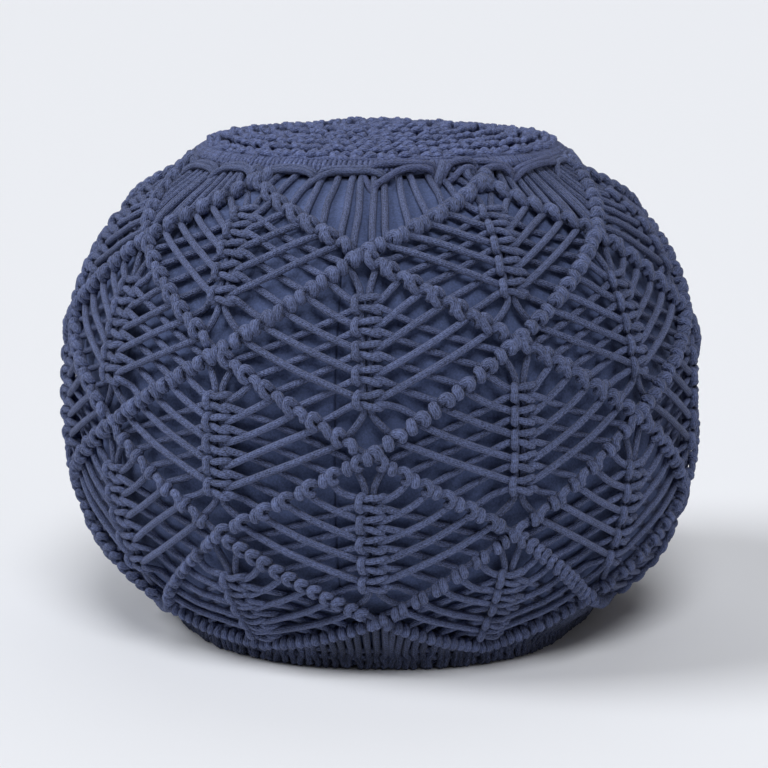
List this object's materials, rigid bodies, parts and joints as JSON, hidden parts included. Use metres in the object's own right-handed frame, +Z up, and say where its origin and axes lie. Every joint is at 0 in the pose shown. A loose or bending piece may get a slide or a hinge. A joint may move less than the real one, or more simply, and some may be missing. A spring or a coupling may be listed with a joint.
{
  "type": "round macrame floor pouf",
  "caption": "Round filled floor pouf in a knotted cord net of diamonds, with a crocheted disc laced on top and a flat underside.",
  "frame": {"origin": "middle of the flat underside, on the surface the pouf stands on", "axes": "+Z up through the crown of the top disc; the pictured side faces -Y and +X is to its right"},
  "size_m": [0.4479, 0.4501, 0.345],
  "materials": {
    "bag_cloth": "plain woven cotton, matt navy",
    "knotted_cord": "braided cotton cord, matt navy",
    "crochet_cord": "crocheted cotton cord, matt navy",
    "lacing": "smooth cotton cord, matt navy"
  },
  "bodies": {
    "root": {"inner_bag": "bag_cloth", "macrame_net": "knotted_cord", "header_ring": "knotted_cord", "crochet_top": "crochet_cord", "lacing_cord": "lacing"}
  },
  "joints": []
}
